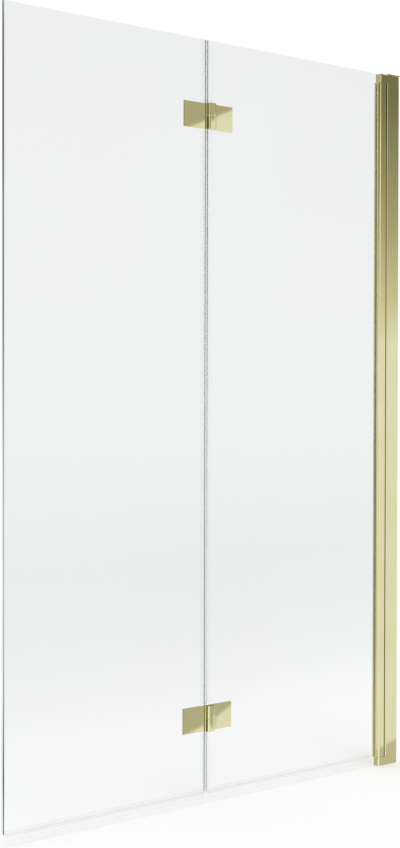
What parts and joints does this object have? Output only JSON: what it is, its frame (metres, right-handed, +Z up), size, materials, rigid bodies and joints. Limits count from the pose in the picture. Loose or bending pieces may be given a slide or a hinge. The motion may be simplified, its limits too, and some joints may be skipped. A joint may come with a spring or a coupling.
{
  "type": "folding bath screen",
  "caption": "Frameless glass bath screen whose outer leaf folds on glass-to-glass hinges and whose inner leaf swings on a pivoting gold wall post, with clear bottom seals.",
  "frame": {"origin": "the axis of the wall post's pivot pins, at the level of the bath rim that the post stands on", "axes": "+X to the wall that the post is screwed to, +Z up, and -Y to the side that the hinge knuckles stand on and that the outer leaf folds to"},
  "size_m": [1, 0.0255, 1.4022],
  "materials": {
    "gold_profile": "polished, gold coloured",
    "gold_hinge": "polished",
    "channel": "mill finish",
    "steel": "plain",
    "nylon": "moulded",
    "gasket": "satin, near black",
    "glazing": "satin, olive",
    "clear_seal": "clear, slightly frosted",
    "glass": "polished, with a green edge"
  },
  "bodies": {
    "wall_post": {"wall_channel": "channel", "cover_profile": "gold_profile", "locking_screws": "steel", "top_cap": "gold_profile", "top_lid": "gold_profile", "bottom_cap": "gold_profile", "cap_screws": "steel", "top_bush": "nylon", "bottom_bush": "nylon"},
    "inner_leaf": {"pivot_barrel": "gold_profile", "upper_inner_leaf": "gold_hinge", "upper_inner_clamp": "gold_hinge", "upper_inner_gaskets": "gasket", "upper_inner_screws": "gold_hinge", "upper_hinge_pin": "steel", "upper_hinge_washer": "nylon", "upper_hinge_buffer": "gasket", "lower_inner_leaf": "gold_hinge", "lower_inner_clamp": "gold_hinge", "lower_inner_gaskets": "gasket", "lower_inner_screws": "gold_hinge", "lower_hinge_pin": "steel", "lower_hinge_washer": "nylon", "lower_hinge_buffer": "gasket", "top_barrel_plug": "nylon", "bottom_barrel_plug": "nylon", "top_pivot_pin": "steel", "bottom_pivot_pin": "steel", "inner_glass": "glass", "jaw_gaskets": "glazing", "inner_bottom_seal": "clear_seal", "inner_fold_seal": "clear_seal"},
    "outer_leaf": {"upper_outer_leaf": "gold_hinge", "upper_outer_clamp": "gold_hinge", "upper_outer_gaskets": "gasket", "upper_outer_screws": "gold_hinge", "lower_outer_leaf": "gold_hinge", "lower_outer_clamp": "gold_hinge", "lower_outer_gaskets": "gasket", "lower_outer_screws": "gold_hinge", "outer_glass": "glass", "outer_bottom_seal": "clear_seal", "outer_fold_seal": "clear_seal"}
  },
  "joints": [
    {"name": "wall_pivot", "type": "hinge", "parent": "wall_post", "child": "inner_leaf", "pos_m": [0, 0, 0.7], "axis": [0, 0, 1], "range_deg": [-90, 90]},
    {"name": "fold_pivot", "type": "hinge", "parent": "inner_leaf", "child": "outer_leaf", "pos_m": [-0.4902, -0.013, 0.7], "axis": [0, 0, 1], "range_deg": [0, 180]}
  ]
}
